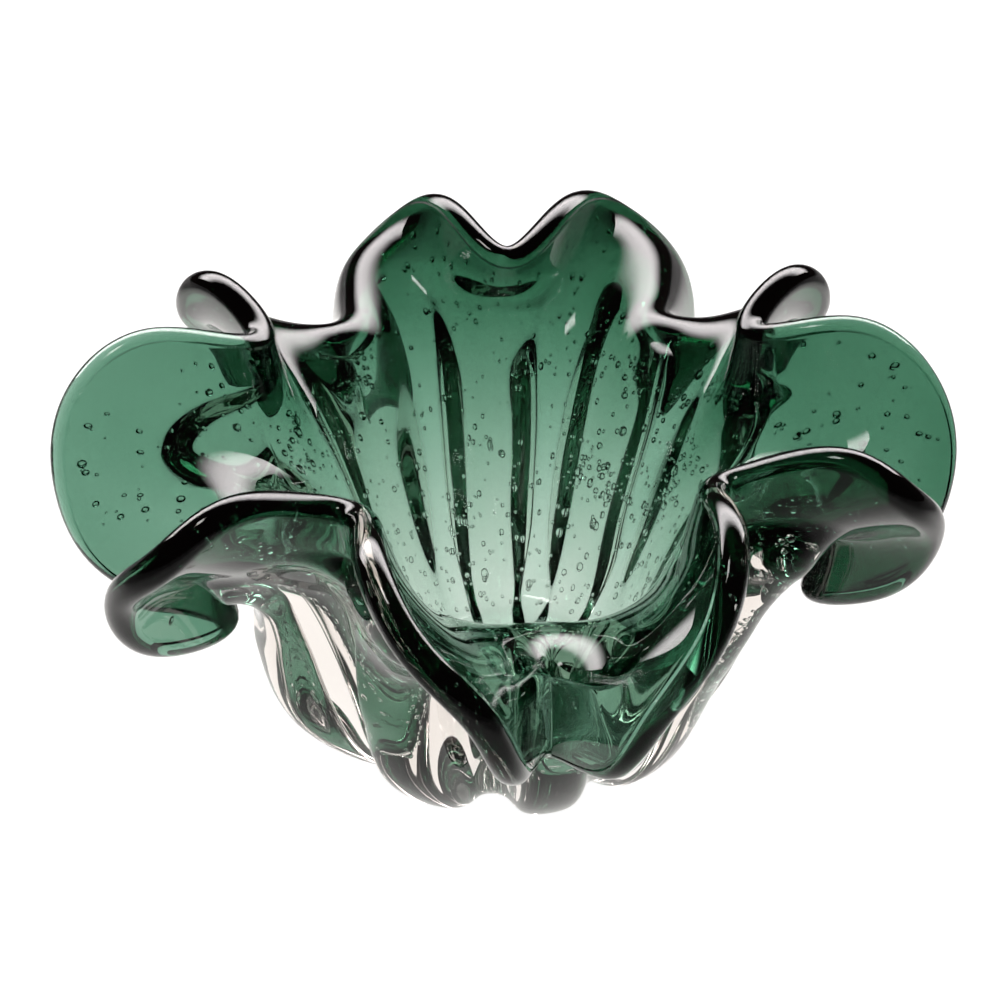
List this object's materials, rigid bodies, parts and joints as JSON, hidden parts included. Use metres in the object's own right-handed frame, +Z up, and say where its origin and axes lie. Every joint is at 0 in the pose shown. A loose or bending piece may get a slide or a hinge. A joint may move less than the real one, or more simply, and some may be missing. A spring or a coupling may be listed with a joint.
{
  "type": "art glass bowl",
  "caption": "Heavy hand-formed glass bowl: green gather cased in clear glass, ribbed body on short toes, rim pinched into folds and drooping lobes.",
  "frame": {"origin": "on the table, mid-way under the whole outline of the bowl; the middle of the foot is 1.4 mm along +X and 1.9 mm along +Y from it", "axes": "+Z up, out of the bowl's mouth; -Y is the front, where one lobe hangs lowest toward the viewer; +X is the viewer's right"},
  "size_m": [0.2393, 0.2439, 0.1294],
  "materials": {
    "green_glass": "fire-polished, transparent bottle green with fine seed bubbles",
    "clear_glass": "fire-polished, clear and colourless"
  },
  "bodies": {
    "root": {"green_gather": "green_glass", "clear_casing": "clear_glass"}
  },
  "joints": []
}
